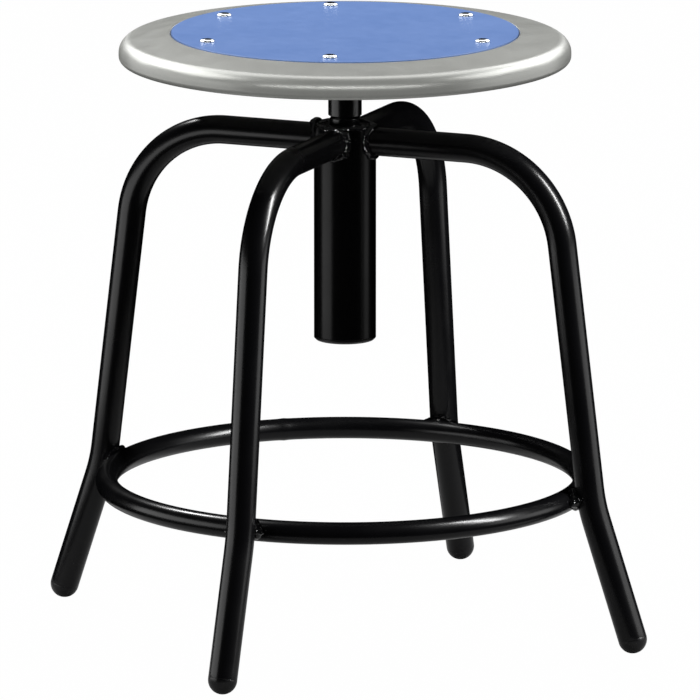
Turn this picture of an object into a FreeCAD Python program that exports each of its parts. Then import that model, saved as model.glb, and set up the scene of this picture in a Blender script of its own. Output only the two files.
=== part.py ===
import FreeCAD
import Part
import math
import os

# Machinist stool. A screw spindle carries a round pressed-steel seat in a tube housing.
# Four bent legs are welded to the housing and to a foot ring inside them.
# The origin is on the floor, on the seat's axis, and +Z is up.
# The legs point along +X, +Y, -X and -Y. The seat is at its lowest.
# Lengths are in millimetres and angles in degrees.
# Bends are made of short straight runs, tangent to the true arc, to keep the surfaces light.

# Legs
LEG_NAMES = ("leg_right", "leg_back", "leg_left", "leg_front")
LEG_TUBE_DIAMETER = 22.2
LEG_TUBE_WALL = 1.5
ARM_HEIGHT = 384.4
ARM_REACH = 171.2
LEG_BEND_RADIUS = 80.0
LEG_SPLAY = 7.15
KINK_HEIGHT = 113.5
KINK_RADIUS = 125.0
FOOT_SPLAY = 18.5
LEG_BEND_STEP = 17.0

# Foot glides, domed plugs in the leg ends, worn flat where they stand
GLIDE_FLAT_DEPTH = 0.45
GLIDE_SHANK_LENGTH = 18.0
GLIDE_SHANK_CLEARANCE = 0.1

# Foot ring, welded inside the legs at the kink
RING_TUBE_DIAMETER = 17.2
RING_HEIGHT = 115.6
RING_WELD_GAP = 0.05
RING_WELD_RADIUS = 8.0
RING_SEARCH_PRECISION = 1e-6
RING_RUNS = 32

# Screw housing
HOUSING_DIAMETER = 48.0
HOUSING_WALL = 3.0
HOUSING_RISE = 11.1
HUB_WELD_LEG = 3.2

# Screw
SCREW_LEAD = 6.35
SCREW_TURNS = 20
SPINDLE_DIAMETER = 19.0
THREAD_CLEARANCE = 0.1
NUT_LENGTH = 15.3
NUT_FIT = 0.05
LANDING_DIAMETER = 23.0
LANDING_HEIGHT = 6.0
LANDING_GAP = 0.3
TOP_STOP_GAP = 0.3

# Guide bush and its stop washer at the foot of the spindle
GUIDE_LENGTH = 12.0
GUIDE_CLEARANCE = 0.1
GUIDE_END_PLAY = 0.15
SPINDLE_NECK_DIAMETER = 12.0
STOP_WASHER_DIAMETER = 32.0
STOP_WASHER_THICKNESS = 2.5
STOP_BOLT_DIAMETER = 8.0
STOP_BOLT_LENGTH = 20.0
STOP_BOLT_ACROSS_FLATS = 13.0
STOP_BOLT_HEAD = 5.0

# End cap of the housing
CAP_FLANGE = 3.0
CAP_PLUG_DEPTH = 9.0
CAP_WALL = 2.0
CAP_FIT = 0.1
BOLT_ROOM = 3.0

# Collar and mounting plate under the seat
COLLAR_DIAMETER = 25.9
COLLAR_LENGTH = 58.7
PLATE_DIAMETER = 150.0
PLATE_THICKNESS = 3.0

# Seat pan
PAN_DIAMETER = 348.0
PAN_SHEET = 1.2
RIM_SLOPE = 8.5
RIM_TOP_RADIUS = 10.0
RIM_BEND_STEP = 42.0
PAN_DEPTH = 22.1

# Inset disc
DISC_DIAMETER = 267.2
DISC_THICKNESS = 4.0
DISC_PROUD = 0.5
DISC_CLEARANCE = 0.4

# Disc rivets, drilled as two sets of three
RIVET_CIRCLE = 230.6
RIVET_SET_ANGLES = (-1.7, 167.0)
RIVET_STEP_ANGLE = 60.0
RIVETS_PER_SET = 3
RIVET_HEAD_DIAMETER = 11.4
RIVET_HEAD_HEIGHT = 2.6
RIVET_TOP_DIAMETER = 6.4

# Radii
leg_radius = LEG_TUBE_DIAMETER / 2
leg_bore_radius = leg_radius - LEG_TUBE_WALL
ring_tube_radius = RING_TUBE_DIAMETER / 2
housing_radius = HOUSING_DIAMETER / 2
housing_bore_radius = housing_radius - HOUSING_WALL
spindle_radius = SPINDLE_DIAMETER / 2
collar_radius = COLLAR_DIAMETER / 2
neck_radius = SPINDLE_NECK_DIAMETER / 2
disc_radius = DISC_DIAMETER / 2
pan_radius = PAN_DIAMETER / 2

# Heights, worked down from the arms to the foot of the housing
seat_travel = SCREW_LEAD * SCREW_TURNS
housing_top = ARM_HEIGHT + HOUSING_RISE
nut_bottom = housing_top - NUT_LENGTH
guide_top = nut_bottom - TOP_STOP_GAP - seat_travel
guide_bottom = guide_top - GUIDE_LENGTH
washer_top = guide_bottom - GUIDE_END_PLAY
washer_bottom = washer_top - STOP_WASHER_THICKNESS
cap_floor = washer_bottom - STOP_BOLT_HEAD - BOLT_ROOM
housing_bottom = cap_floor
cap_bottom = housing_bottom - CAP_FLANGE

# Heights, worked up from the nut to the seat
landing_top = housing_top + LANDING_HEIGHT
collar_bottom = landing_top + LANDING_GAP
plate_bottom = collar_bottom + COLLAR_LENGTH
plate_top = plate_bottom + PLATE_THICKNESS
floor_top = plate_top + PAN_SHEET
disc_top = floor_top + DISC_THICKNESS
rim_edge = disc_top - DISC_PROUD

AXIS = FreeCAD.Vector(0, 0, 1)
ORIGIN = FreeCAD.Vector(0, 0, 0)
FAR = 2 * ARM_HEIGHT


def point(radius, height):
    """A point in the upright plane through the right leg."""
    return FreeCAD.Vector(radius, 0, height)


def cylinder(radius, bottom, top):
    """An upright cylinder on the seat's axis."""
    return Part.makeCylinder(radius, top - bottom, point(0, bottom))


def tube(outside, bore, bottom, top):
    """An upright tube on the seat's axis."""
    return cylinder(outside, bottom, top).cut(cylinder(bore, bottom, top))


def turned(*outline):
    """A solid turned about the seat's axis from (radius, height) corners."""
    corners = [point(radius, height) for radius, height in outline]
    return Part.Face(Part.makePolygon(corners + corners[:1])).revolve(ORIGIN, AXIS, 360)


def spun(shape, angle):
    """A copy of the shape, turned about the seat's axis."""
    copy = shape.copy()
    copy.rotate(ORIGIN, AXIS, angle)
    return copy


def pattern(shape, angles):
    """Copies of the shape at these angles about the seat's axis, as separate solids."""
    return Part.makeCompound([spun(shape, angle) for angle in angles])


def bent_path(corners, radii, step):
    """Points of a path whose corners are rounded, in runs that turn by no more than the step."""
    points = [corners[0]]
    for before, corner, after, radius in zip(corners, corners[1:], corners[2:], radii):
        back = (before - corner).normalize()
        ahead = (after - corner).normalize()
        turn = 180 - math.degrees(back.getAngle(ahead))
        count = math.ceil(turn / step)
        centre = corner + (back + ahead).normalize() * (radius / math.cos(math.radians(turn / 2)))
        first = corner + back * (radius * math.tan(math.radians(turn / 2)))
        arm = (first - centre) / math.cos(math.radians(turn / count / 2))
        for index in range(count):
            swing = FreeCAD.Rotation(ahead.cross(back), turn * (index + 0.5) / count)
            points.append(centre + swing.multVec(arm))
    points.append(corners[-1])
    return points


def rod_through(points, radius):
    """A round bar along straight runs, mitred where they meet."""
    section = Part.Wire(Part.makeCircle(radius, points[0], points[1] - points[0]))
    return Part.makePolygon(points).makePipeShell([section], True, False, 1)


def sheet_turned(points, thickness):
    """Sheet metal turned about the axis. The points are on its upper side."""
    section = Part.makePolygon(points).makeOffset2D(-thickness, 2, True, True)
    return section.revolve(ORIGIN, AXIS, 360)


# The path of the right leg, from the seat's axis to the centre of the foot's dome
foot_height = leg_radius - GLIDE_FLAT_DEPTH
kink_reach = ARM_REACH + (ARM_HEIGHT - KINK_HEIGHT) * math.tan(math.radians(LEG_SPLAY))
foot_reach = kink_reach + (KINK_HEIGHT - foot_height) * math.tan(math.radians(FOOT_SPLAY))
leg_corners = [
    point(0, ARM_HEIGHT),
    point(ARM_REACH, ARM_HEIGHT),
    point(kink_reach, KINK_HEIGHT),
    point(foot_reach, foot_height),
]
leg_points = bent_path(leg_corners, [LEG_BEND_RADIUS, KINK_RADIUS], LEG_BEND_STEP)
leg_path = Part.makePolygon(leg_points)
leg_outside = rod_through(leg_points, leg_radius)
housing_space = cylinder(housing_radius, housing_bottom, ARM_HEIGHT + LEG_TUBE_DIAMETER)
foot_centre = leg_corners[-1]
up_the_foot = (leg_corners[-2] - foot_centre).normalize()


def make_leg():
    """A bent tube, coped to the housing at its upper end, with its bore modelled at the foot."""
    bore = Part.makeCylinder(leg_bore_radius, GLIDE_SHANK_LENGTH, foot_centre, up_the_foot)
    return leg_outside.cut([bore, housing_space])


def make_glide():
    """A domed plug in the end of a leg, with a small flat to stand on."""
    dome = Part.makeSphere(leg_radius, foot_centre, up_the_foot, -90, 0, 360)
    shank_radius = leg_bore_radius - GLIDE_SHANK_CLEARANCE
    shank = Part.makeCylinder(shank_radius, GLIDE_SHANK_LENGTH, foot_centre, up_the_foot)
    below_floor = Part.makeBox(FAR, FAR, FAR, FreeCAD.Vector(-FAR / 2, -FAR / 2, -FAR))
    return dome.fuse(shank).cut(below_floor)


def ring_reach():
    """The radius at which the ring's tube just meets the legs, found by halving."""
    wanted = leg_radius + ring_tube_radius + RING_WELD_GAP
    inner = 0.0
    outer = kink_reach
    while outer - inner > RING_SEARCH_PRECISION:
        middle = (inner + outer) / 2
        if leg_path.distToShape(Part.Vertex(point(middle, RING_HEIGHT)))[0] > wanted:
            inner = middle
        else:
            outer = middle
    return inner


ring_radius = ring_reach()


def make_foot_ring():
    """The foot ring, whose runs touch the true circle at their middles."""
    middle = point(ring_radius, RING_HEIGHT)
    corner = middle + FreeCAD.Vector(0, ring_radius * math.tan(math.pi / RING_RUNS), 0)
    corners = [spun(Part.Vertex(corner), 360 / RING_RUNS * index).Point for index in range(RING_RUNS)]
    return rod_through([middle, *corners, middle], ring_tube_radius)


foot_ring = make_foot_ring()


def make_ring_weld():
    """Weld that fills the crevice round the point where the ring meets a leg."""
    ring_centre = point(ring_radius, RING_HEIGHT)
    nearest = leg_path.distToShape(Part.Vertex(ring_centre))[1][0][0]
    outward = (nearest - ring_centre).normalize()
    weld = Part.makeCylinder(RING_WELD_RADIUS, leg_radius + ring_tube_radius, ring_centre, outward)
    return weld.cut([leg_outside, foot_ring])


def make_hub_weld():
    """The bead of weld round the root of an arm."""
    start = point(0, ARM_HEIGHT)
    bead = Part.makeCylinder(leg_radius + HUB_WELD_LEG, housing_radius + HUB_WELD_LEG, start, point(1, 0))
    return bead.cut([housing_space, leg_outside])


def make_spindle_nut():
    """The screw's nut in the top of the housing, with a landing for the collar."""
    outside = housing_bore_radius - NUT_FIT
    bore = spindle_radius + THREAD_CLEARANCE
    return turned(
        (bore, nut_bottom),
        (outside, nut_bottom),
        (outside, housing_top),
        (LANDING_DIAMETER / 2, housing_top),
        (LANDING_DIAMETER / 2, landing_top),
        (bore, landing_top),
    )


def make_end_cap():
    """A moulded cup plug with a flange that closes the foot of the housing."""
    plug = housing_bore_radius - CAP_FIT
    cup = plug - CAP_WALL
    rim = cap_floor + CAP_PLUG_DEPTH
    return turned(
        (0, cap_bottom),
        (housing_radius, cap_bottom),
        (housing_radius, housing_bottom),
        (plug, housing_bottom),
        (plug, rim),
        (cup, rim),
        (cup, cap_floor),
        (0, cap_floor),
    )


def make_spindle():
    """The screw, with a neck for the guide bush and a hole for the stop bolt."""
    shoulder = guide_top + GUIDE_END_PLAY
    hole_top = washer_bottom + STOP_BOLT_LENGTH
    hole = STOP_BOLT_DIAMETER / 2
    return turned(
        (hole, washer_top),
        (neck_radius, washer_top),
        (neck_radius, shoulder),
        (spindle_radius, shoulder),
        (spindle_radius, plate_top),
        (0, plate_top),
        (0, hole_top),
        (hole, hole_top),
    )


def make_guide_bush():
    """A bush that slides in the housing and lets the spindle turn in it."""
    outside = housing_bore_radius - GUIDE_CLEARANCE
    return tube(outside, neck_radius + GUIDE_CLEARANCE, guide_bottom, guide_top)


def make_stop_washer():
    """The washer that keeps the guide bush on its neck."""
    return tube(STOP_WASHER_DIAMETER / 2, STOP_BOLT_DIAMETER / 2, washer_bottom, washer_top)


def make_stop_bolt():
    """A hexagon bolt up into the foot of the spindle."""
    corner_radius = STOP_BOLT_ACROSS_FLATS / 2 / math.cos(math.radians(30))
    corners = []
    for index in range(6):
        corners.append(spun(Part.Vertex(point(corner_radius, washer_bottom)), 60 * index).Point)
    head = Part.Face(Part.makePolygon(corners + corners[:1])).extrude(AXIS * -STOP_BOLT_HEAD)
    shank = cylinder(STOP_BOLT_DIAMETER / 2, washer_bottom, washer_bottom + STOP_BOLT_LENGTH)
    return head.fuse(shank)


def make_collar():
    """The sleeve welded round the top of the spindle. It lands on the nut."""
    return tube(collar_radius, spindle_radius, collar_bottom, plate_bottom)


def make_seat_plate():
    """The round plate that joins the spindle to the pan."""
    return tube(PLATE_DIAMETER / 2, spindle_radius, plate_bottom, plate_top)


def make_seat_pan():
    """Pressed sheet: a recessed floor, a sloping rim and a skirt."""
    recess = disc_radius + DISC_CLEARANCE
    shoulder = rim_edge - (pan_radius - recess) * math.tan(math.radians(RIM_SLOPE))
    rim_corners = [
        point(recess, rim_edge),
        point(pan_radius, shoulder),
        point(pan_radius, rim_edge - PAN_DEPTH),
    ]
    rim_points = bent_path(rim_corners, [RIM_TOP_RADIUS], RIM_BEND_STEP)
    return sheet_turned([point(0, floor_top), point(recess, floor_top), *rim_points], PAN_SHEET)


def make_rivet():
    """The head of a disc rivet."""
    place = point(RIVET_CIRCLE / 2, disc_top)
    return Part.makeCone(RIVET_HEAD_DIAMETER / 2, RIVET_TOP_DIAMETER / 2, RIVET_HEAD_HEIGHT, place)


quarter_turns = [90 * index for index in range(len(LEG_NAMES))]
rivet_angles = [first + RIVET_STEP_ANGLE * index for first in RIVET_SET_ANGLES for index in range(RIVETS_PER_SET)]
leg = make_leg()

nodes = {name: spun(leg, angle) for name, angle in zip(LEG_NAMES, quarter_turns)}
nodes["foot_glides"] = pattern(make_glide(), quarter_turns)
nodes["foot_ring"] = foot_ring
nodes["ring_welds"] = pattern(make_ring_weld(), quarter_turns)
nodes["housing_tube"] = tube(housing_radius, housing_bore_radius, housing_bottom, housing_top)
nodes["hub_welds"] = pattern(make_hub_weld(), quarter_turns)
nodes["spindle_nut"] = make_spindle_nut()
nodes["housing_end_cap"] = make_end_cap()
nodes["guide_bush"] = make_guide_bush()
nodes["spindle"] = make_spindle()
nodes["stop_washer"] = make_stop_washer()
nodes["stop_bolt"] = make_stop_bolt()
nodes["spindle_collar"] = make_collar()
nodes["seat_plate"] = make_seat_plate()
nodes["seat_pan"] = make_seat_pan()
nodes["seat_disc"] = cylinder(disc_radius, floor_top, disc_top)
nodes["disc_rivets"] = pattern(make_rivet(), rivet_angles)

os.makedirs("parts", exist_ok=True)
for name, shape in nodes.items():
    shape.exportStep(os.path.join("parts", name + ".step"))

print(f"seat travel {seat_travel:.1f} mm in {SCREW_TURNS} turns")
print(f"seat height {disc_top:.1f} to {disc_top + seat_travel:.1f} mm")
print(f"housing {cap_bottom:.1f} to {housing_top:.1f} mm")
print(f"ring radius {ring_radius:.2f} mm, foot reach {foot_reach:.1f} mm")
for name, shape in nodes.items():
    print(f"{name}: {len(shape.Solids)} solids, {shape.Volume:.0f} mm3, valid {shape.isValid()}")
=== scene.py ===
# %% [markdown]
# # A machinist stool
# Four bent steel tubes stand round a screw, and a pressed steel pan turns on top of it. The packed
# model already holds every size and every moving body, so it is loaded first and never changed.
# This script gives each piece its true surface and its finish, then adds a floor, lights and a camera.

import math

import bmesh
import bpy
import numpy as np
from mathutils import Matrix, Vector


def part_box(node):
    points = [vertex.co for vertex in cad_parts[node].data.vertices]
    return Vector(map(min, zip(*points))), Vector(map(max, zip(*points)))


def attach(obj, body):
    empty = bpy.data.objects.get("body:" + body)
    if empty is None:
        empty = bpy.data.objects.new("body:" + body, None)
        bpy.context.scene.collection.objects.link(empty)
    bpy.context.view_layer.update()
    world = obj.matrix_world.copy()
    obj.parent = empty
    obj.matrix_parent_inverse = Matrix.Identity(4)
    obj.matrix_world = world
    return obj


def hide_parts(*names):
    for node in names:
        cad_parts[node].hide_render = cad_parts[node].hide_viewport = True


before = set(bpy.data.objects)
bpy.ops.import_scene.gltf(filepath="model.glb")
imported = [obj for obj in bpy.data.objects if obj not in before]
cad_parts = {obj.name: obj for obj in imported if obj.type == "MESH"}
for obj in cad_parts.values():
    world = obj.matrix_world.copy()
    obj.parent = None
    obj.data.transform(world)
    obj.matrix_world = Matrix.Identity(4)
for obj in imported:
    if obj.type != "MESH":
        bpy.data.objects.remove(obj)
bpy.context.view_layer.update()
MM = 0.001
print("nodes in the frame:", len(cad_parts))

# %% [markdown]
# ## Sizes
# A piece fits only if it takes its size from its neighbours. The frame gives the box of each node,
# and most sizes are read from those boxes. The few that a box can't tell, such as a bend's radius,
# are written here once.

# %% Sizes read from the frame
def low(node, axis):
    """The lowest coordinate of a node along an axis, 0 to 2 for X to Z."""
    return round(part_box(node)[0][axis], 5)


def high(node, axis):
    """The highest coordinate of a node along an axis."""
    return round(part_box(node)[1][axis], 5)


leg_radius = (high("leg_right", 1) - low("leg_right", 1)) / 2
arm_height = high("leg_right", 2) - leg_radius
ring_tube_radius = (high("foot_ring", 2) - low("foot_ring", 2)) / 2
ring_height = (high("foot_ring", 2) + low("foot_ring", 2)) / 2
ring_radius = high("foot_ring", 0) - ring_tube_radius
housing_radius = high("housing_tube", 0)
housing_bottom = low("housing_tube", 2)
housing_top = high("housing_tube", 2)
nut_radius = high("spindle_nut", 0)
nut_bottom = low("spindle_nut", 2)
landing_top = high("spindle_nut", 2)
collar_radius = high("spindle_collar", 0)
collar_bottom = low("spindle_collar", 2)
spindle_radius = high("spindle", 0)
spindle_bottom = low("spindle", 2)
plate_radius = high("seat_plate", 0)
plate_bottom = low("seat_plate", 2)
plate_top = high("seat_plate", 2)
disc_radius = high("seat_disc", 0)
disc_bottom = low("seat_disc", 2)
disc_top = high("seat_disc", 2)
pan_radius = high("seat_pan", 0)
pan_bottom = low("seat_pan", 2)
pan_top = high("seat_pan", 2)
rivet_head_height = high("disc_rivets", 2) - disc_top
print(f"seat at {disc_top / MM:.1f} mm, ring radius {ring_radius / MM:.1f} mm")

# %% Sizes that no box can tell
LEG_ANGLES = {"leg_right": 0, "leg_back": 90, "leg_left": 180, "leg_front": 270}
ARM_REACH = 171.2 * MM
LEG_BEND_RADIUS = 80 * MM
LEG_SPLAY = math.radians(7.15)
KINK_HEIGHT = 113.5 * MM
KINK_RADIUS = 125 * MM
FOOT_SPLAY = math.radians(18.5)
FOOT_FLAT_DEPTH = 0.45 * MM
HOUSING_WALL = 3 * MM
LANDING_RADIUS = 11.5 * MM
SCREW_LEAD = 6.35 * MM
NECK_RADIUS = 6 * MM
SHEET = 1.2 * MM
RIM_SLOPE = math.radians(8.5)
RIM_TOP_RADIUS = 11 * MM
RIVET_CIRCLE_RADIUS = 115.3 * MM
RIVET_ANGLES = [first + 60 * index for first in (-1.7, 167.0) for index in range(3)]

# %% [markdown]
# ## How a surface is made
# Every new piece is a grid of points worked out with numpy. The rows follow an outline or a path and
# the columns go round it. Arcs get a point every few degrees, and flat stretches get a point close to
# each arc, so that smooth shading stays flat where the steel is flat.

# %% Rounded outlines
def unit(vector):
    """The vector at length one."""
    return vector / np.linalg.norm(vector)


def rounded(corners, radii, turn_step=5.0, hold=0.06):
    """Points along a polyline whose inner corners are true arcs.

    At a corner C, a and b are the unit directions to its neighbours, h is half the angle between them,
    m = unit(a + b) and q = unit(b - a). The arc's centre is C + m r / sin h, and its point at angle t is
    centre + r (q sin t - m cos t), with t from h - 90 to 90 - h degrees.
    One more point on each side, hold times the radius away, keeps the straight stretch straight.
    """
    corners = np.asarray(corners, float)
    stretches = [corners[:1]]
    for before, corner, after, radius in zip(corners, corners[1:], corners[2:], radii):
        a = unit(before - corner)
        b = unit(after - corner)
        half = np.arccos(np.clip(a @ b, -1, 1)) / 2
        m = unit(a + b)
        q = unit(b - a)
        sweep = np.pi / 2 - half
        count = max(3, int(np.ceil(np.degrees(2 * sweep) / turn_step)) + 1)
        t = np.linspace(-sweep, sweep, count)[:, None]
        arc = corner + m * radius / np.sin(half) + radius * (q * np.sin(t) - m * np.cos(t))
        stretches += [arc[:1] + a * radius * hold, arc, arc[-1:] + b * radius * hold]
    stretches.append(corners[-1:])
    return np.concatenate(stretches)


def turned(outline, sides=192):
    """A grid for (radius, height) points turned about the seat's axis.

    The point for outline point (r, h) and angle a is (r cos a, r sin a, h).
    """
    angle = np.linspace(0, 2 * np.pi, sides, endpoint=False)
    radius, height = np.asarray(outline, float).T[:, :, None]
    return np.stack([radius * np.cos(angle), radius * np.sin(angle), height + 0 * angle], axis=-1)


def spun(grid, degrees):
    """The grid turned about the seat's axis."""
    a = math.radians(degrees)
    turn = np.array([[math.cos(a), math.sin(a), 0], [-math.sin(a), math.cos(a), 0], [0, 0, 1]])
    return grid @ turn


# %% From grids to a piece
def add_piece(name, grids, body, slot, finish, *nodes, close_rows=False):
    """One object from grids of points. Quads join each point to the next row and the next column.

    Columns close into a loop. Rows close too where asked. Points that meet in a pole are merged,
    and the faces are then turned to point outwards.
    """
    points = []
    quads = []
    start = 0
    for grid in grids:
        rows, columns = grid.shape[:2]
        row, column = np.mgrid[0 : rows if close_rows else rows - 1, 0:columns]
        row_after = (row + 1) % rows
        column_after = (column + 1) % columns
        corners = [(row, column), (row, column_after), (row_after, column_after), (row_after, column)]
        quads.append(start + np.stack([r * columns + c for r, c in corners], axis=-1).reshape(-1, 4))
        points.append(grid.reshape(-1, 3))
        start += rows * columns
    mesh = bpy.data.meshes.new(name)
    mesh.from_pydata(np.concatenate(points).tolist(), [], np.concatenate(quads).tolist())
    shell = bmesh.new()
    shell.from_mesh(mesh)
    bmesh.ops.remove_doubles(shell, verts=shell.verts, dist=1e-6)
    bmesh.ops.recalc_face_normals(shell, faces=shell.faces)
    shell.to_mesh(mesh)
    shell.free()
    mesh.polygons.foreach_set("use_smooth", np.ones(len(mesh.polygons), bool))
    piece = bpy.data.objects.new(name, mesh)
    bpy.context.scene.collection.objects.link(piece)
    mesh.materials.append(finish)
    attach(piece, body)
    if nodes:
        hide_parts(*nodes)
    print(f"{name}: {len(mesh.polygons)} faces")
    return piece


# %% [markdown]
# ## Finishes
# A material is a small node tree. One helper adds a node with its settings and links, and another
# turns the hex colours that people read into the linear numbers that the renderer needs. Patterns
# are laid out in Object coordinates, in metres, so one over a size in metres is a pattern's scale.

# %% Node and colour helpers
def linear(hex_colour):
    """An sRGB hex colour as linear red, green, blue and alpha."""
    channels = [int(hex_colour[i : i + 2], 16) / 255 for i in (1, 3, 5)]
    return [c / 12.92 if c <= 0.04045 else ((c + 0.055) / 1.055) ** 2.4 for c in channels] + [1.0]


def add_node(tree, kind, inputs=None, **settings):
    """Adds a node. An input is a value, or a socket to link from."""
    node = tree.nodes.new(kind)
    for key, value in settings.items():
        setattr(node, key, value)
    for key, value in (inputs or {}).items():
        if isinstance(value, bpy.types.NodeSocket):
            tree.links.new(value, node.inputs[key])
        else:
            node.inputs[key].default_value = value
    return node


def new_finish(name):
    """A material with a Principled shader. Returns it, its tree, its shader and Object coordinates."""
    finish = bpy.data.materials.new(name)
    finish.use_nodes = True
    tree = finish.node_tree
    place = add_node(tree, "ShaderNodeTexCoord").outputs["Object"]
    return finish, tree, tree.nodes["Principled BSDF"], place


def mottle(tree, place, size, low_value, high_value):
    """A number that drifts between two values in patches of this size in metres."""
    noise = add_node(tree, "ShaderNodeTexNoise", {"Vector": place, "Scale": 1 / size, "Detail": 3.0})
    span = {"Value": noise.outputs["Fac"], "From Min": 0.3, "From Max": 0.7}
    span.update({"To Min": low_value, "To Max": high_value})
    return add_node(tree, "ShaderNodeMapRange", span).outputs["Result"]


def grain_bump(tree, shader, place, size, depth):
    """Fine relief of this grain size and depth, both in metres."""
    noise = add_node(tree, "ShaderNodeTexNoise", {"Vector": place, "Scale": 1 / size, "Detail": 2.0})
    relief = {"Height": noise.outputs["Fac"], "Distance": depth, "Strength": 1.0}
    bump = add_node(tree, "ShaderNodeBump", relief)
    tree.links.new(bump.outputs["Normal"], shader.inputs["Normal"])


# %% [markdown]
# ### Black powder coat
# Plastic powder is baked on the steel until it flows. It gives a deep black with a soft gloss and a
# faint orange peel of about 2 mm, and over the weld beads it pools and shines. On the tubes the black
# stays deep right beside a highlight, so their specular level is half of the usual 0.5.

# %% Powder coat
powder_coat, tree, shader, place = new_finish("black_powder_coat")
shader.inputs["Base Color"].default_value = linear("#050506")
shader.inputs["IOR"].default_value = 1.5
shader.inputs["Specular IOR Level"].default_value = 0.25
tree.links.new(mottle(tree, place, 30 * MM, 0.22, 0.28), shader.inputs["Roughness"])
grain_bump(tree, shader, place, 2 * MM, 0.012 * MM)

weld_coat, tree, shader, place = new_finish("black_powder_coat_on_weld")
shader.inputs["Base Color"].default_value = linear("#060607")
shader.inputs["IOR"].default_value = 1.5
tree.links.new(mottle(tree, place, 5 * MM, 0.07, 0.16), shader.inputs["Roughness"])
grain_bump(tree, shader, place, 2.2 * MM, 0.75 * MM)

# %% [markdown]
# ### Silver-grey metallic paint
# Aluminium flakes in a clear lacquer lie nearly flat, so the pan has a broad silky highlight over a
# warm grey. The flakes are 0.05 mm and can't show, so they are drawn at 0.8 mm, very faintly.

# %% Metallic paint
silver_paint, tree, shader, place = new_finish("silver_grey_metallic_paint")
flake = mottle(tree, place, 0.8 * MM, 0.0, 1.0)
tone = add_node(tree, "ShaderNodeMix", {"Factor": flake}, data_type="RGBA")
tone.inputs["A"].default_value = linear("#9C9D99")
tone.inputs["B"].default_value = linear("#A3A4A0")
tree.links.new(tone.outputs["Result"], shader.inputs["Base Color"])
shader.inputs["Metallic"].default_value = 0.5
tree.links.new(mottle(tree, place, 18 * MM, 0.30, 0.36), shader.inputs["Roughness"])
grain_bump(tree, shader, place, 1.5 * MM, 0.006 * MM)

# %% [markdown]
# ### Blue hard sheet
# The inset disc is a hard laminated sheet with a fine satin texture. It is nearly flat in colour,
# and takes a soft sheen from the light overhead.

# %% Blue sheet
blue_sheet, tree, shader, place = new_finish("blue_laminate_sheet")
shade = mottle(tree, place, 45 * MM, 0.0, 1.0)
tone = add_node(tree, "ShaderNodeMix", {"Factor": shade}, data_type="RGBA")
tone.inputs["A"].default_value = linear("#6E8DC9")
tone.inputs["B"].default_value = linear("#7593CE")
tree.links.new(tone.outputs["Result"], shader.inputs["Base Color"])
tree.links.new(mottle(tree, place, 12 * MM, 0.31, 0.38), shader.inputs["Roughness"])
grain_bump(tree, shader, place, 1.0 * MM, 0.010 * MM)

# %% [markdown]
# ### Plated, turned and moulded small parts
# The rivets are bright zinc. The screw is turned steel with oil on it. The plug, glides and bush are
# moulded: black polypropylene, black rubber and natural nylon.

# %% Small finishes
bright_zinc, tree, shader, place = new_finish("bright_zinc_plate")
shader.inputs["Base Color"].default_value = linear("#EDF0F0")
shader.inputs["Metallic"].default_value = 1.0
tree.links.new(mottle(tree, place, 3 * MM, 0.10, 0.22), shader.inputs["Roughness"])
grain_bump(tree, shader, place, 1.0 * MM, 0.008 * MM)

turned_steel, tree, shader, place = new_finish("turned_steel_oiled")
shader.inputs["Base Color"].default_value = linear("#8E8E8A")
shader.inputs["Metallic"].default_value = 1.0
tree.links.new(mottle(tree, place, 4 * MM, 0.25, 0.42), shader.inputs["Roughness"])
grain_bump(tree, shader, place, 0.6 * MM, 0.010 * MM)

black_plastic, tree, shader, place = new_finish("black_polypropylene")
shader.inputs["Base Color"].default_value = linear("#0A0A0B")
tree.links.new(mottle(tree, place, 8 * MM, 0.40, 0.50), shader.inputs["Roughness"])
grain_bump(tree, shader, place, 0.8 * MM, 0.015 * MM)

black_rubber, tree, shader, place = new_finish("black_moulded_rubber")
shader.inputs["Base Color"].default_value = linear("#050506")
shader.inputs["Specular IOR Level"].default_value = 0.3
tree.links.new(mottle(tree, place, 5 * MM, 0.26, 0.34), shader.inputs["Roughness"])
grain_bump(tree, shader, place, 1.0 * MM, 0.012 * MM)

nylon, tree, shader, place = new_finish("natural_nylon")
shader.inputs["Base Color"].default_value = linear("#DCD6C4")
tree.links.new(mottle(tree, place, 6 * MM, 0.40, 0.55), shader.inputs["Roughness"])

# %% [markdown]
# ## Legs
# Each leg is one tube: out from the housing, down through a wide bend, and out again at a kink just
# under the foot ring. A round section is carried along that path. The path lies in one upright
# plane, so the section's second direction never turns, and the tube can't twist.

# %% A round section carried along a path
def carried(path, stations, radii, sides=56):
    """A round section carried along a path in the upright plane through the right leg.

    The point at station s and angle a is P(s) + r(s) (N(s) cos a + Y sin a). P(s) is the path at
    length s, T(s) its direction, Y the plane's normal, and N = Y x T.
    """
    steps = np.linalg.norm(np.diff(path, axis=0), axis=1)
    length = np.concatenate([[0], np.cumsum(steps)])
    heading = np.gradient(path, length, axis=0)
    place = np.stack([np.interp(stations, length, path[:, k]) for k in range(3)], axis=-1)
    along = np.stack([np.interp(stations, length, heading[:, k]) for k in range(3)], axis=-1)
    along /= np.linalg.norm(along, axis=1)[:, None]
    across = np.array([0.0, 1.0, 0.0])
    normal = np.cross(across, along)
    angle = np.linspace(0, 2 * np.pi, sides, endpoint=False)[None, :, None]
    spoke = normal[:, None] * np.cos(angle) + across * np.sin(angle)
    return place[:, None] + np.asarray(radii)[:, None, None] * spoke


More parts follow.
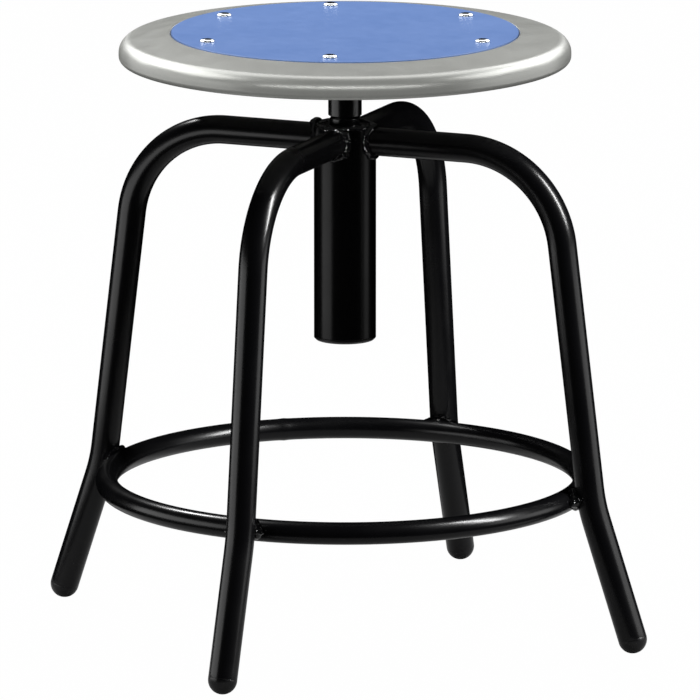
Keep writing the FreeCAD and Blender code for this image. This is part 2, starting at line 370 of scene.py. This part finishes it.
ROOT_STEP = 0.15 * MM
kink_reach = ARM_REACH + (arm_height - KINK_HEIGHT) * math.tan(LEG_SPLAY)
foot_height = leg_radius - FOOT_FLAT_DEPTH
foot_reach = kink_reach + (KINK_HEIGHT - foot_height) * math.tan(FOOT_SPLAY)
root_reach = housing_radius - HOUSING_WALL + ROOT_STEP
leg_corners = np.array(
    [
        (root_reach, 0, arm_height),
        (ARM_REACH, 0, arm_height),
        (kink_reach, 0, KINK_HEIGHT),
        (foot_reach, 0, foot_height),
    ]
)
leg_path = rounded(leg_corners, [LEG_BEND_RADIUS, KINK_RADIUS], turn_step=2.5, hold=0.02)
leg_length = np.linalg.norm(np.diff(leg_path, axis=0), axis=1).sum()
print(f"one leg is {leg_length / MM:.0f} mm of tube")

# %% Leg surfaces
TUBE_END_ROUND = 0.25 * MM
LEG_ROWS = 160
end_arc = np.linspace(0, np.pi / 2, 5)
end_stations = leg_length - TUBE_END_ROUND * (1 - np.sin(end_arc))
end_radii = leg_radius - TUBE_END_ROUND * (1 - np.cos(end_arc))
straight_stations = np.linspace(0, leg_length - TUBE_END_ROUND, LEG_ROWS)
stations = np.concatenate([[0, 0], straight_stations, end_stations, [leg_length]])
radii = np.concatenate([[0, leg_radius], np.full(LEG_ROWS, leg_radius), end_radii, [0]])
leg_grid = carried(leg_path, stations, radii)
for name, degrees in LEG_ANGLES.items():
    add_piece(name + "_tube", [spun(leg_grid, degrees)], "base", "black_coat", powder_coat, name)

# %% [markdown]
# ## Foot glides
# A moulded plug closes each leg. Its dome is a little worn where it stands. The dome is half a
# sphere about the end of the leg's path, and points below the floor are lifted to it, which makes
# the flat. A narrow lip goes into the tube's end and is hardly smaller, so the seam stays faint.

# %% Glides
GLIDE_LIP = 0.6 * MM
GLIDE_LIP_TAPER = 0.02


def glide_grid(sides=56):
    """Half a sphere at the foot, with its pole along the leg, flattened at the floor.

    The point at angle u from the pole and angle a round it is F + r (D cos u + sin u (N cos a + Y sin a)).
    """
    foot = leg_corners[-1]
    down = unit(leg_corners[-1] - leg_corners[-2])
    across = np.array([0.0, 1.0, 0.0])
    normal = np.cross(across, down)
    from_pole = np.linspace(0, np.pi / 2, 22)[:, None, None]
    angle = np.linspace(0, 2 * np.pi, sides, endpoint=False)[None, :, None]
    spoke = normal * np.cos(angle) + across * np.sin(angle)
    dome = foot + leg_radius * (down * np.cos(from_pole) + spoke * np.sin(from_pole))
    lip = dome[-1] - down * GLIDE_LIP - (dome[-1] - foot) * GLIDE_LIP_TAPER
    closing = np.broadcast_to(foot - down * GLIDE_LIP, lip.shape)
    grid = np.concatenate([dome, lip[None], closing[None]])
    grid[..., 2] = np.maximum(grid[..., 2], 0.0)
    return grid


glide = glide_grid()
glides = [spun(glide, degrees) for degrees in LEG_ANGLES.values()]
add_piece("glide_domes", glides, "base", "glide_plastic", black_rubber, "foot_glides")

# %% [markdown]
# ## Foot ring
# The ring is a tube bent to a circle and welded closed. It is a torus, and its weld is a low seam.

# %% Ring
RING_SEAM_ANGLE = math.radians(128)
RING_SEAM_WIDTH = 2.6 * MM
RING_SEAM_HEIGHT = 0.35 * MM


def ring_grid(columns=40, rows=360):
    """A torus: the section's centre runs round at the ring's radius, and the tube's radius swells a
    little at the seam, as a bell curve of the distance from it."""
    a = np.linspace(0, 2 * np.pi, rows, endpoint=False)[:, None]
    b = np.linspace(0, 2 * np.pi, columns, endpoint=False)[None, :]
    from_seam = ring_radius * (np.mod(a - RING_SEAM_ANGLE + np.pi, 2 * np.pi) - np.pi)
    tube = ring_tube_radius + RING_SEAM_HEIGHT * np.exp(-((from_seam / RING_SEAM_WIDTH) ** 2))
    reach = ring_radius + tube * np.cos(b)
    return np.stack([reach * np.cos(a), reach * np.sin(a), ring_height + tube * np.sin(b)], axis=-1)


add_piece("foot_ring_tube", [ring_grid()], "base", "black_coat", powder_coat, "foot_ring", close_rows=True)

# %% [markdown]
# ## Weld beads
# A hand-made weld is a row of overlapping puddles along the crevice, of uneven width, with lumps
# where the torch paused. Each bead here is a tube round the crevice's line. Its radius swells a
# little once per puddle, drifts by a sum of slow waves, and rises in a few lumps. The waves and the
# lumps come from one seeded generator, so the beads are the same on each run.

# %% Puddles
rng = np.random.default_rng(11)
RIPPLE = 0.06
RIPPLE_MEAN = 0.6
SWEEP_BACK = 0.9
LUMPS = 6
# The angle, the width and the rise of a lump lie between these.
LUMP_LEAST = (0, 0.10, 0.1)
LUMP_MOST = (2 * np.pi, 0.26, 0.5)


def puddles(around, section, count, drift):
    """How much a bead swells at an angle round the crevice and an angle round its own section.

    A puddle is |cos|, swept back a little at the crown, so that the ripples look like stacked coins.
    The drift is five waves of falling size. Each lump is a bell curve of the angle from it.
    """
    coins = np.abs(np.cos(count / 2 * around + SWEEP_BACK * np.cos(section)))
    swell = 1 + RIPPLE * (coins - RIPPLE_MEAN)
    for wave in range(2, 7):
        phase, tilt = rng.uniform(0, 2 * np.pi, 2)
        swell = swell + drift / wave * np.cos(wave * around + phase + np.cos(section + tilt))
    for _ in range(LUMPS):
        centre, width, rise = rng.uniform(LUMP_LEAST, LUMP_MOST)
        from_lump = np.mod(around - centre + np.pi, 2 * np.pi) - np.pi
        swell = swell + rise * np.exp(-((from_lump / width) ** 2))
    return swell


# %% Beads round the arms
HUB_BEAD = 2.9 * MM
HUB_PUDDLES = 17
HUB_DRIFT = 0.26
DEEPEST_IN_WALL = 0.6


def hub_weld(sides=26, steps=300):
    """The bead round the root of an arm, where the arm's tube meets the housing.

    The crevice at angle a round the arm is (sqrt(R^2 - (r sin a)^2), r sin a, z + r cos a).
    No point comes through the housing's wall, because the guide bush slides past inside it.
    """
    a = np.linspace(0, 2 * np.pi, steps, endpoint=False)[:, None]
    b = np.linspace(0, 2 * np.pi, sides, endpoint=False)[None, :]
    size = HUB_BEAD * puddles(a, b, HUB_PUDDLES, HUB_DRIFT)
    crevice = np.sqrt(housing_radius**2 - (leg_radius * np.sin(a)) ** 2)
    reach = crevice + size * np.cos(b)
    spoke = leg_radius + size * np.sin(b)
    across = spoke * np.sin(a)
    in_wall = np.maximum(1, (housing_radius - DEEPEST_IN_WALL * HOUSING_WALL) / np.hypot(reach, across))
    return np.stack([reach * in_wall, across * in_wall, arm_height + spoke * np.cos(a)], axis=-1)


hub_beads = [spun(hub_weld(), degrees) for degrees in LEG_ANGLES.values()]
add_piece("hub_weld_beads", hub_beads, "base", "black_coat", weld_coat, "hub_welds", close_rows=True)

# %% Beads between ring and legs
RING_WELD_HALF_WIDTH = 10.3 * MM
RING_WELD_HALF_HEIGHT = 6.8 * MM
RING_WELD_COVER = 0.9 * MM
RING_PUDDLES = 13
DRIFT = 0.30
path_rows = np.arange(len(leg_path))
path_steps = np.linspace(0, len(leg_path) - 1, 6000)
dense_leg = np.stack([np.interp(path_steps, path_rows, leg_path[:, k]) for k in range(3)], axis=-1)


def ring_weld(sides=26, steps=200):
    """The bead round the place where the ring touches a leg.

    Round the contact, the gap between the tubes opens by r - sqrt(r^2 - w^2) on each side, with w the
    distance from that tube's own line. The bead runs along the middle of the gap and fills it.
    """
    centre = np.array([ring_radius, 0, ring_height])
    near = dense_leg[np.argmin(np.linalg.norm(dense_leg - centre, axis=1))]
    out = unit(near - centre)
    side = np.array([0.0, 1.0, 0.0])
    up = np.cross(out, side)
    a = np.linspace(0, 2 * np.pi, steps, endpoint=False)[:, None, None]
    b = np.linspace(0, 2 * np.pi, sides, endpoint=False)[None, :, None]
    wide = RING_WELD_HALF_WIDTH * np.cos(a)
    tall = RING_WELD_HALF_HEIGHT * np.sin(a)
    leg_gap = leg_radius - np.sqrt(leg_radius**2 - wide**2)
    ring_gap = ring_tube_radius - np.sqrt(ring_tube_radius**2 - tall**2)
    middle = centre + out * ring_tube_radius + out * (leg_gap - ring_gap) / 2 + side * wide + up * tall
    size = ((leg_gap + ring_gap) / 2 + RING_WELD_COVER) * puddles(a, b, RING_PUDDLES, DRIFT)
    spoke = side * np.cos(a) + up * np.sin(a)
    return middle + size * (out * np.cos(b) + spoke * np.sin(b))


ring_beads = [spun(ring_weld(), degrees) for degrees in LEG_ANGLES.values()]
add_piece("ring_weld_beads", ring_beads, "base", "black_coat", weld_coat, "ring_welds", close_rows=True)

# %% Beads round nut and collar
NUT_BEAD = 2.1 * MM
NUT_PUDDLES = 26
COLLAR_BEAD = 2.6 * MM
COLLAR_PUDDLES = 16


def flat_weld(radius, height, size, count, sides=22, steps=360):
    """A bead round a circle, for the nut in the housing and the collar under the plate."""
    a = np.linspace(0, 2 * np.pi, steps, endpoint=False)[:, None]
    b = np.linspace(0, 2 * np.pi, sides, endpoint=False)[None, :]
    section = size * puddles(a, b, count, DRIFT)
    reach = radius + section * np.cos(b)
    return np.stack([reach * np.cos(a), reach * np.sin(a), height + section * np.sin(b)], axis=-1)


nut_bead = flat_weld(nut_radius + 0.2 * MM, housing_top - 0.3 * MM, NUT_BEAD, NUT_PUDDLES)
add_piece("nut_weld_bead", [nut_bead], "base", "black_coat", weld_coat, close_rows=True)
collar_bead = flat_weld(collar_radius, plate_bottom, COLLAR_BEAD, COLLAR_PUDDLES)
add_piece("collar_weld_bead", [collar_bead], "seat", "black_coat", weld_coat, close_rows=True)

# %% [markdown]
# ## Housing, nut and plug
# The housing is a cut length of tube, so its edges are only broken by the coat. The nut stands proud
# of it in a small landing, where the collar comes down. A chamfered plug closes the foot.

# %% Turned pieces of the housing
def turned_piece(name, corners, radii, body, slot, finish, *nodes, close_rows=False):
    """A piece turned from rounded corners, from axis to axis or as a closed ring."""
    outline = rounded(corners, radii)
    return add_piece(name, [turned(outline)], body, slot, finish, *nodes, close_rows=close_rows)


EDGE = 0.5 * MM
housing_bore = housing_radius - HOUSING_WALL
middle_wall = (housing_bore + housing_radius) / 2
housing_corners = [
    (middle_wall, housing_bottom),
    (housing_radius, housing_bottom),
    (housing_radius, housing_top),
    (housing_bore, housing_top),
    (housing_bore, housing_bottom),
    (middle_wall, housing_bottom),
]
turned_piece(
    "housing_shell",
    housing_corners,
    [EDGE] * 4,
    "base",
    "black_coat",
    powder_coat,
    "housing_tube",
    close_rows=True,
)

SLIDE_GAP = 0.1 * MM
NUT_SETBACK = 0.05 * MM
nut_bore = spindle_radius + SLIDE_GAP
nut_corners = [
    ((nut_bore + nut_radius) / 2, nut_bottom),
    (nut_radius, nut_bottom),
    (nut_radius, housing_top - NUT_SETBACK),
    (LANDING_RADIUS, housing_top - NUT_SETBACK),
    (LANDING_RADIUS, landing_top),
    (nut_bore, landing_top),
    (nut_bore, nut_bottom),
    ((nut_bore + nut_radius) / 2, nut_bottom),
]
turned_piece(
    "nut_body",
    nut_corners,
    [EDGE, EDGE, 0.8 * MM, EDGE, 0.3 * MM, EDGE],
    "base",
    "nut_steel",
    powder_coat,
    "spindle_nut",
    close_rows=True,
)

cap_bottom = low("housing_end_cap", 2)
cap_top = high("housing_end_cap", 2)
CAP_CHAMFER = 1.6 * MM
CUP_WALL = 2 * MM
plug_radius = housing_bore - SLIDE_GAP
cup_radius = plug_radius - CUP_WALL
cap_corners = [
    (0, cap_bottom),
    (housing_radius - CAP_CHAMFER, cap_bottom),
    (housing_radius, cap_bottom + CAP_CHAMFER),
    (housing_radius, housing_bottom),
    (plug_radius, housing_bottom),
    (plug_radius, cap_top),
    (cup_radius, cap_top),
    (cup_radius, housing_bottom),
    (0, housing_bottom),
]
turned_piece(
    "end_plug",
    cap_corners,
    [EDGE, EDGE, 0.3 * MM, 0.2 * MM, EDGE, EDGE, EDGE],
    "base",
    "cap_plastic",
    black_plastic,
    "housing_end_cap",
)

# %% [markdown]
# ## The screw
# Raised, the seat shows its screw, so the thread is real geometry: a single-start trapezoidal
# thread whose lead is the seat's rise in one turn. It is right-handed, because the seat rises when
# it turns anticlockwise seen from above.

# %% Thread
THREAD_DEPTH = 2.6 * MM
NECK_LENGTH = 12.3 * MM
CREST = 0.17
FLANK = 0.13
ROWS_PER_TURN = 26
thread_low = 256 * MM
thread_high = collar_bottom + 3 * MM


def thread_depth(height, angle):
    """How deep the thread cuts at a height and an angle.

    The phase is height / lead - angle / 2 pi. The depth is nought on the crest, full in the root,
    and a straight flank between, each a share of the lead. It fades over one lead at each end.
    """
    phase = np.mod(height / SCREW_LEAD - angle / (2 * np.pi), 1)
    from_crest = np.abs(phase - 0.5)
    flank = np.clip((from_crest - CREST) / FLANK, 0, 1)
    fade_in = np.clip((height - thread_low) / SCREW_LEAD, 0, 1)
    fade_out = np.clip((thread_high - height) / SCREW_LEAD, 0, 1)
    return THREAD_DEPTH * flank * fade_in * fade_out


def screw_grid(sides=72):
    """The screw turned about its axis, with the thread cut into its radius."""
    shoulder = spindle_bottom + NECK_LENGTH
    lower_corners = [
        (0, spindle_bottom),
        (NECK_RADIUS, spindle_bottom),
        (NECK_RADIUS, shoulder),
        (spindle_radius, shoulder),
        (spindle_radius, thread_low),
    ]
    lower = rounded(lower_corners, [EDGE, 0.2 * MM, EDGE])
    rows = int((thread_high - thread_low) / SCREW_LEAD * ROWS_PER_TURN)
    middle = np.stack([np.full(rows, spindle_radius), np.linspace(thread_low, thread_high, rows)], axis=-1)
    upper = np.array([(spindle_radius, plate_top - EDGE), (spindle_radius - EDGE, plate_top), (0, plate_top)])
    outline = np.concatenate([lower, middle, upper])
    angle = np.linspace(0, 2 * np.pi, sides, endpoint=False)
    radius, height = outline.T[:, :, None]
    radius = radius - thread_depth(height, angle) * (radius >= spindle_radius - 1e-9)
    return np.stack([radius * np.cos(angle), radius * np.sin(angle), height + 0 * angle], axis=-1)


add_piece("screw", [screw_grid()], "seat", "screw_steel", turned_steel, "spindle")

# %% [markdown]
# ## Collar and mounting plate
# The sleeve that shows under the seat has a chamfer at its foot, which leads it onto the landing.
# The plate over it is flat sheet with a broken edge, spot-welded to the pan.

# %% Collar and plate
COLLAR_CHAMFER = 2.4 * MM
COLLAR_CHAMFER_HEIGHT = 1.8 * MM
COLLAR_BORE_CHAMFER = 0.4 * MM
collar_corners = [
    (spindle_radius + COLLAR_BORE_CHAMFER, collar_bottom),
    (collar_radius - COLLAR_CHAMFER, collar_bottom),
    (collar_radius, collar_bottom + COLLAR_CHAMFER_HEIGHT),
    (collar_radius, plate_bottom),
    (spindle_radius, plate_bottom),
    (spindle_radius, collar_bottom + COLLAR_BORE_CHAMFER),
    (spindle_radius + COLLAR_BORE_CHAMFER, collar_bottom),
]
turned_piece(
    "collar_sleeve",
    collar_corners,
    [0.25 * MM, 0.4 * MM, 0.2 * MM, 0.2 * MM, 0.1 * MM],
    "seat",
    "black_coat",
    powder_coat,
    "spindle_collar",
    close_rows=True,
)

plate_corners = [
    ((spindle_radius + plate_radius) / 2, plate_bottom),
    (plate_radius, plate_bottom),
    (plate_radius, plate_top),
    (spindle_radius, plate_top),
    (spindle_radius, plate_bottom),
    ((spindle_radius + plate_radius) / 2, plate_bottom),
]
turned_piece(
    "mounting_plate",
    plate_corners,
    [0.6 * MM, 0.3 * MM, EDGE, EDGE],
    "seat",
    "plate_grey",
    silver_paint,
    "seat_plate",
    close_rows=True,
)

# %% [markdown]
# ## Seat pan
# The pan is one pressing of thin sheet: a floor let in for the disc, a rim that slopes gently down,
# a large round edge, and a hem rolled under so that no raw edge meets a hand. Its outline is drawn
# once, along the upper side. The lower side is the same line, one sheet thickness along its normal.

# %% Pan
HEM_RADIUS = 4.2 * MM
HEM_RISE = 3.0 * MM
HEM_GAP = 1.2 * MM
DISC_GAP = 0.4 * MM


def sheet_outline(upper, thickness):
    """The closed outline of a sheet. Each lower point is P - thickness N, with N the normal at P."""
    heading = np.gradient(upper, axis=0)
    heading /= np.linalg.norm(heading, axis=1)[:, None]
    normal = np.stack([-heading[:, 1], heading[:, 0]], axis=-1)
    lower = upper - thickness * normal
    lower[0] = upper[0] - (0, thickness)
    return np.concatenate([upper, lower[::-1]])


recess_radius = disc_radius + DISC_GAP
shoulder = pan_top - (pan_radius - recess_radius) * math.tan(RIM_SLOPE)
hem_inside = pan_radius - 2 * HEM_RADIUS - HEM_GAP
pan_corners = [
    (0, disc_bottom),
    (recess_radius, disc_bottom),
    (recess_radius, pan_top),
    (pan_radius, shoulder),
    (pan_radius, pan_bottom),
    (hem_inside, pan_bottom),
    (hem_inside, pan_bottom + HEM_RADIUS + HEM_RISE),
]
pan_radii = [1.3 * MM, 1.4 * MM, RIM_TOP_RADIUS, HEM_RADIUS, HEM_RADIUS]
pan_outline = sheet_outline(rounded(pan_corners, pan_radii), SHEET)
add_piece("pressed_pan", [turned(pan_outline, 256)], "seat", "pan_grey", silver_paint, "seat_pan")

# %% [markdown]
# ## Disc and rivets
# The disc drops into the pan and stands 0.7 mm proud of its rim. Six domed rivets hold it, drilled
# as two sets of three by eye, which is why the gaps between the sets aren't equal. Their tails
# are spread under the pan.

# %% Disc
disc_corners = [(0, disc_bottom), (disc_radius, disc_bottom), (disc_radius, disc_top), (0, disc_top)]
disc_radii = [0.3 * MM, 0.8 * MM]
turned_piece("inset_disc", disc_corners, disc_radii, "seat", "disc_blue", blue_sheet, "seat_disc")

# %% Rivets
RIVET_HEAD_RADIUS = 5.7 * MM
RIVET_TAIL_RADIUS = 3.7 * MM
RIVET_TAIL_HEIGHT = 2.4 * MM
RIVET_SHANK_RADIUS = 2.4 * MM
RIVET_LAND = 0.12
RIVET_POWER = 0.85


def rivet_outline():
    """From the top of the dome, round its edge, down the shank and over the tail.

    The dome is a superellipse: at t from 0 to 90 degrees its radius is R sin^p t and its height
    H cos^p t, with p under one, which is fuller than a circle. It stands on a low straight land.
    """
    t = np.linspace(0, np.pi / 2, 18)
    dome_radius = RIVET_HEAD_RADIUS * np.sin(t) ** RIVET_POWER
    dome_height = disc_top + rivet_head_height * (RIVET_LAND + (1 - RIVET_LAND) * np.cos(t) ** RIVET_POWER)
    dome = np.stack([dome_radius, dome_height], axis=-1)
    pan_underside = disc_bottom - SHEET
    tail_bottom = pan_underside - RIVET_TAIL_HEIGHT
    foot = rounded(
        [
            (RIVET_HEAD_RADIUS, disc_top + 0.1 * rivet_head_height),
            (RIVET_HEAD_RADIUS, disc_top),
            (RIVET_SHANK_RADIUS, disc_top),
            (RIVET_SHANK_RADIUS, pan_underside),
            (RIVET_TAIL_RADIUS, pan_underside),
            (RIVET_TAIL_RADIUS, tail_bottom),
            (0, tail_bottom),
        ],
        [0.1 * MM, 0.1 * MM, 0.1 * MM, 0.1 * MM, 1.2 * MM],
        turn_step=15,
    )
    return np.concatenate([dome, foot])


rivet = turned(rivet_outline(), 48) + (RIVET_CIRCLE_RADIUS, 0, 0)
rivets = [spun(rivet, degrees) for degrees in RIVET_ANGLES]
add_piece("domed_rivets", rivets, "seat", "rivet_chrome", bright_zinc, "disc_rivets")

# %% [markdown]
# ## Pieces that never show
# The guide bush, its washer and the bolt stay inside the housing. Their solids are already right,
# so they keep their meshes and only take a finish.

# %% Hidden pieces
hidden = {"guide_bush": nylon, "stop_washer": bright_zinc, "stop_bolt": bright_zinc}
for name, finish in hidden.items():
    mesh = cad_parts[name].data
    mesh.materials.clear()
    mesh.materials.append(finish)

# %% [markdown]
# ## Camera
# The photograph was taken from far away with a long lens, looking down by about 12 degrees. The
# distance, turn and height were fitted to the legs, the ring and the seat.

# %% Camera
VIEW_TURN = math.radians(22.666)
VIEW_RISE = math.radians(12.035)
VIEW_DISTANCE = 7.0979
VIEW_HEIGHT = 218.13 * MM
VIEW_SIDE = 3.86 * MM
LENS_LENGTH = 471.69
right_of_view = Vector((math.cos(VIEW_TURN), math.sin(VIEW_TURN), 0))
target = right_of_view * VIEW_SIDE + Vector((0, 0, VIEW_HEIGHT))


def from_target(turn, rise, distance):
    """A point round the target: turn is counted from the camera towards its right."""
    flat = math.cos(rise) * distance
    a = VIEW_TURN + turn
    return target + Vector((flat * math.sin(a), -flat * math.cos(a), math.sin(rise) * distance))


camera_data = bpy.data.cameras.new("camera")
camera_data.sensor_width = 36
camera_data.lens = LENS_LENGTH
camera_data.clip_end = 50
camera = bpy.data.objects.new("camera", camera_data)
camera.location = from_target(0, VIEW_RISE, VIEW_DISTANCE)
camera.rotation_euler = (target - camera.location).to_track_quat("-Z", "Y").to_euler()
bpy.context.scene.collection.objects.link(camera)
bpy.context.scene.camera = camera

# %% [markdown]
# ## Light
# Black gloss shows only what it mirrors. On the photograph's tubes a grey stripe runs down the left,
# a dimmer one down the right, thin hot streaks cross the bends, and the rest is black. On a
# mirror-like tube the reflection turns twice as fast as the surface, so the stripes place the lamps:
# low boxes that stand beside the tubes, and small strong lamps for the streaks. Large boxes behind
# and over the seat give the silky edge of the pan, and a thin strip in front draws its lower line.

# %% Soft boxes
FLOOR_GAP = 0.03


def soft_box(name, turn, rise, distance, width, height, radiance):
    """A rectangular lamp that faces the target. Its power is radiance x pi x area."""
    lamp = bpy.data.lights.new(name, "AREA")
    lamp.shape = "RECTANGLE"
    lamp.size = width
    lamp.size_y = height
    lamp.energy = radiance * math.pi * width * height
    holder = bpy.data.objects.new(name, lamp)
    holder.location = from_target(math.radians(turn), math.radians(rise), distance)
    holder.rotation_euler = (target - holder.location).to_track_quat("-Z", "Y").to_euler()
    bpy.context.scene.collection.objects.link(holder)


def standing_box(name, turn, reach, width, height, radiance):
    """A soft box that stands on the floor and faces the axis. Its power is radiance x pi x area."""
    soft_box(name, turn, 0, reach, width, height, radiance)
    bpy.data.objects[name].location.z = height / 2 + FLOOR_GAP
    bpy.data.objects[name].rotation_euler.x = math.pi / 2


# %% Lamps
# For the tubes.
standing_box("left_box", -74, 0.8, 0.85, 0.36, 2.9)
standing_box("right_box", 80, 0.8, 0.55, 0.27, 2.4)
standing_box("left_dim_box", -72, 0.8, 0.60, 0.27, 1.5)
standing_box("right_dim_box", 80, 0.8, 0.45, 0.27, 0.8)
soft_box("right_streak", 72, 34, 1.8, 0.22, 1.1, 95.0)
soft_box("left_streak", -140, 50, 2.4, 0.35, 0.5, 70.0)
soft_box("weld_spot", -20, 14, 2.4, 0.25, 0.25, 200.0)
# For the seat.
soft_box("right_high_box", 100, 43, 2.4, 1.6, 1.0, 4.2)
soft_box("back_left_box", -141, 34, 2.4, 1.8, 1.3, 3.8)
soft_box("back_right_box", 141, 34, 2.4, 1.7, 1.2, 4.2)
soft_box("left_high_box", -104, 45, 2.4, 1.8, 1.1, 4.6)
soft_box("top_box", 180, 66, 2.4, 2.4, 1.2, 2.2)
soft_box("front_strip", 0, 30, 2.4, 3.6, 0.2, 11.0)
standing_box("left_card", -95, 1.5, 2.6, 0.9, 0.95)
standing_box("right_card", 98, 1.5, 2.0, 0.9, 1.0)
print("lamps:", len(bpy.data.lights))

# %% [markdown]
# ### Flags
# Flags are black cards that keep white walls out of a gloss. Here they are a dark dome round the
# whole set and a dark apron on the floor outside the feet, and only mirrored rays can see them. The
# white floor under the stool still shows in the undersides of the tubes.

# %% The dome and the apron
DOME_RADIUS = 6.0
DOME_LID = 0.98
APRON_RADIUS = 0.34
APRON_HEIGHT = 0.002


def stage_piece(name, points, faces, finish):
    """A stage object from points and faces, which isn't part of the stool."""
    mesh = bpy.data.meshes.new(name)
    mesh.from_pydata(points, [], faces)
    mesh.materials.append(finish)
    piece = bpy.data.objects.new(name, mesh)
    bpy.context.scene.collection.objects.link(piece)
    return piece


def dome_points(sides=48, rings=13):
    """Half a sphere: the point at turn a and rise e is R (cos e cos a, cos e sin a, sin e).

    The rings stop just short of the top, and one flat face closes it.
    """
    a = np.linspace(0, 2 * np.pi, sides, endpoint=False)[None, :]
    e = np.linspace(0, np.pi / 2 * DOME_LID, rings)[:, None]
    grid = np.stack([np.cos(e) * np.cos(a), np.cos(e) * np.sin(a), np.sin(e) + 0 * a], axis=-1)
    row, column = np.mgrid[0 : rings - 1, 0:sides]
    after = (column + 1) % sides
    this_ring = row * sides
    next_ring = (row + 1) * sides
    quads = np.stack([this_ring + column, this_ring + after, next_ring + after, next_ring + column], -1)
    lid = [(rings - 1) * sides + k for k in range(sides)]
    return (DOME_RADIUS * grid).reshape(-1, 3).tolist(), quads.reshape(-1, 4).tolist() + [lid]


flag_card = bpy.data.materials.new("black_flag_card")
flag_card.use_nodes = True
tree = flag_card.node_tree
tree.nodes.clear()
FLAG_LEVEL = 0.0
card = add_node(tree, "ShaderNodeEmission", {"Color": (1, 1, 1, 1), "Strength": FLAG_LEVEL})
add_node(tree, "ShaderNodeOutputMaterial", {"Surface": card.outputs["Emission"]})


def apron_points(sides=48):
    """A flat ring on the floor, from just outside the feet to the foot of the dome."""
    a = np.linspace(0, 2 * np.pi, sides, endpoint=False)
    edges = (APRON_RADIUS, DOME_RADIUS)
    rings = [np.stack([r * np.cos(a), r * np.sin(a), APRON_HEIGHT + 0 * a], -1) for r in edges]
    k = np.arange(sides)
    after = (k + 1) % sides
    quads = np.stack([k, after, sides + after, sides + k], -1)
    return np.concatenate(rings).tolist(), quads.tolist()


for name, shape in {"flag_dome": dome_points(), "flag_apron": apron_points()}.items():
    flags = stage_piece(name, *shape, flag_card)
    flags.visible_camera = False
    flags.visible_diffuse = False
    flags.visible_transmission = False
    flags.visible_shadow = False

# %% World and floor
world = bpy.data.worlds.new("studio")
world.use_nodes = True
bpy.context.scene.world = world
tree = world.node_tree
tree.nodes.clear()
rays = add_node(tree, "ShaderNodeLightPath")
camera_or_mirror = {0: rays.outputs["Is Camera Ray"], 1: rays.outputs["Is Glossy Ray"]}
seen = add_node(tree, "ShaderNodeMath", camera_or_mirror, operation="MAXIMUM")
or_glass = {0: seen.outputs[0], 1: rays.outputs["Is Transmission Ray"]}
seen_all = add_node(tree, "ShaderNodeMath", or_glass, operation="MAXIMUM")
AMBIENT = 0.48
levels = {"Factor": seen_all.outputs[0], "A": AMBIENT, "B": 1.0}
level = add_node(tree, "ShaderNodeMix", levels, data_type="FLOAT")
glow = {"Color": (1, 1, 1, 1), "Strength": level.outputs["Result"]}
backdrop = add_node(tree, "ShaderNodeBackground", glow)
add_node(tree, "ShaderNodeOutputWorld", {"Surface": backdrop.outputs["Background"]})

FLOOR_HALF = 12.0
FLOOR_WHITE_SHARE = 0.99
floor_paint, tree, shader, place = new_finish("pale_studio_floor")
shader.inputs["Base Color"].default_value = linear("#F4F4F4")
shader.inputs["Roughness"].default_value = 0.9
rays = add_node(tree, "ShaderNodeLightPath")
white = add_node(tree, "ShaderNodeEmission", {"Color": (1, 1, 1, 1), "Strength": 1.0})
white_share = {0: rays.outputs["Is Camera Ray"], 1: FLOOR_WHITE_SHARE}
share = add_node(tree, "ShaderNodeMath", white_share, operation="MULTIPLY")
paint_and_white = {"Fac": share.outputs[0], 1: shader.outputs["BSDF"], 2: white.outputs["Emission"]}
blend = add_node(tree, "ShaderNodeMixShader", paint_and_white)
tree.links.new(blend.outputs["Shader"], tree.nodes["Material Output"].inputs["Surface"])
corners = [(x * FLOOR_HALF, y * FLOOR_HALF, 0) for x, y in ((-1, -1), (1, -1), (1, 1), (-1, 1))]
stage_piece("floor", corners, [(0, 1, 2, 3)], floor_paint)

# %% [markdown]
# ### What each lamp lights
# A studio keeps a lamp off a surface with a card beside it. Here each lamp has a list of the pieces
# that it lights. The low boxes and the streaks are for the tubes, one spot is for the welds, and the
# high boxes, the strip and the cards are for the seat.

# %% Lists of lit pieces
def only_for(lamp_names, piece_names):
    """Lets these lamps light these pieces and nothing else."""
    lit = bpy.data.collections.new(lamp_names[0] + "_lit")
    for piece_name in piece_names:
        lit.objects.link(bpy.data.objects[piece_name])
    for lamp_name in lamp_names:
        bpy.data.objects[lamp_name].light_linking.receiver_collection = lit


legs = [name + "_tube" for name in LEG_ANGLES]
tubes = legs + ["foot_ring_tube", "collar_sleeve", "glide_domes", "nut_body"]
shiny = ["pressed_pan", "domed_rivets", "mounting_plate", "screw"]
only_for(["left_box", "right_box", "left_streak", "right_streak"], tubes)
only_for(["left_dim_box", "right_dim_box"], ["housing_shell", "end_plug"])
only_for(["weld_spot"], ["hub_weld_beads", "ring_weld_beads", "nut_weld_bead"])
only_for(["back_left_box", "back_right_box", "front_strip", "left_card", "right_card"], shiny)
only_for(["right_high_box", "left_high_box"], [*shiny, "inset_disc"])
only_for(["top_box"], [*shiny, "inset_disc", "floor"])
print("every lamp now has its list of pieces")

# %% [markdown]
# ## Colour management

# %% Colour management
scene_settings = bpy.context.scene
scene_settings.view_settings.view_transform = "Standard"
